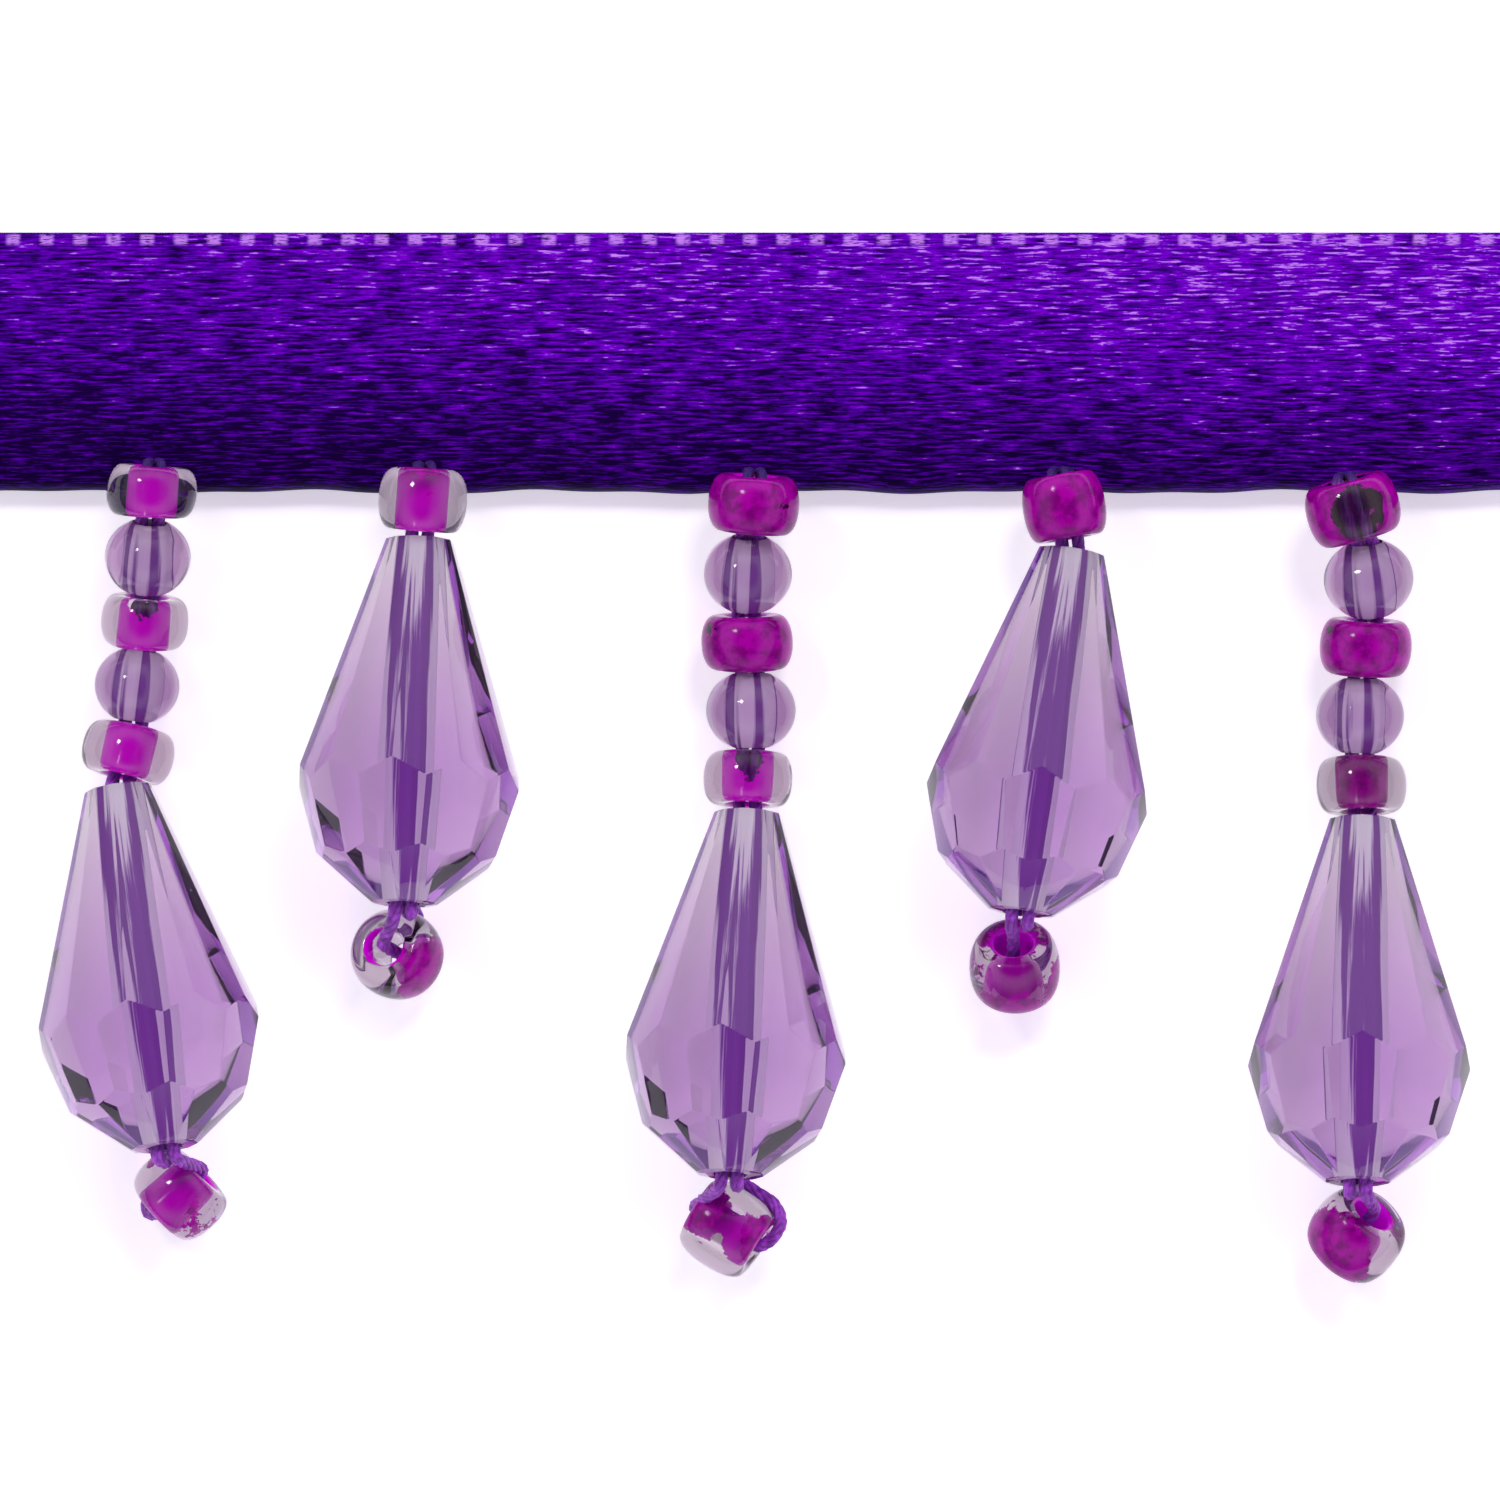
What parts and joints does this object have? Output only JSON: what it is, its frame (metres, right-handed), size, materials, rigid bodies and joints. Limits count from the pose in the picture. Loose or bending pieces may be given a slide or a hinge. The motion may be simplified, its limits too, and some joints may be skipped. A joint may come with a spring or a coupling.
{
  "type": "beaded fringe trim",
  "caption": "Satin ribbon folded lengthwise with a fringe of strands of seed beads, round beads and faceted drop beads hanging from its fold, long and short by turns.",
  "frame": {"origin": "middle of the ribbon's back face, half way along and half way across it", "axes": "+X along the ribbon, +Y from the fold to the selvedges, so the strands hang towards -Y, and +Z out of the trim's front"},
  "size_m": [0.078, 0.0486, 0.0102],
  "materials": {
    "ribbon": "deep violet satin weave with long crosswise floats",
    "yarn": "loosely twisted violet filament yarn",
    "seed_glass": "clear glass with worn magenta colour on its bore or its outside",
    "round_acrylic": "clear lavender acrylic, polished",
    "drop_acrylic": "clear lavender acrylic with flat polished facets"
  },
  "bodies": {
    "root": {"ribbon_header": "ribbon", "strand_yarn_1": "yarn", "strand_yarn_2": "yarn", "strand_yarn_3": "yarn", "strand_yarn_4": "yarn", "strand_yarn_5": "yarn", "seed_bead_1_1": "seed_glass", "round_bead_1_2": "round_acrylic", "seed_bead_1_3": "seed_glass", "round_bead_1_4": "round_acrylic", "seed_bead_1_5": "seed_glass", "drop_bead_1": "drop_acrylic", "stop_bead_1": "seed_glass", "seed_bead_2_1": "seed_glass", "drop_bead_2": "drop_acrylic", "stop_bead_2": "seed_glass", "seed_bead_3_1": "seed_glass", "round_bead_3_2": "round_acrylic", "seed_bead_3_3": "seed_glass", "round_bead_3_4": "round_acrylic", "seed_bead_3_5": "seed_glass", "drop_bead_3": "drop_acrylic", "stop_bead_3": "seed_glass", "seed_bead_4_1": "seed_glass", "drop_bead_4": "drop_acrylic", "stop_bead_4": "seed_glass", "seed_bead_5_1": "seed_glass", "round_bead_5_2": "round_acrylic", "seed_bead_5_3": "seed_glass", "round_bead_5_4": "round_acrylic", "seed_bead_5_5": "seed_glass", "drop_bead_5": "drop_acrylic", "stop_bead_5": "seed_glass"}
  },
  "joints": []
}
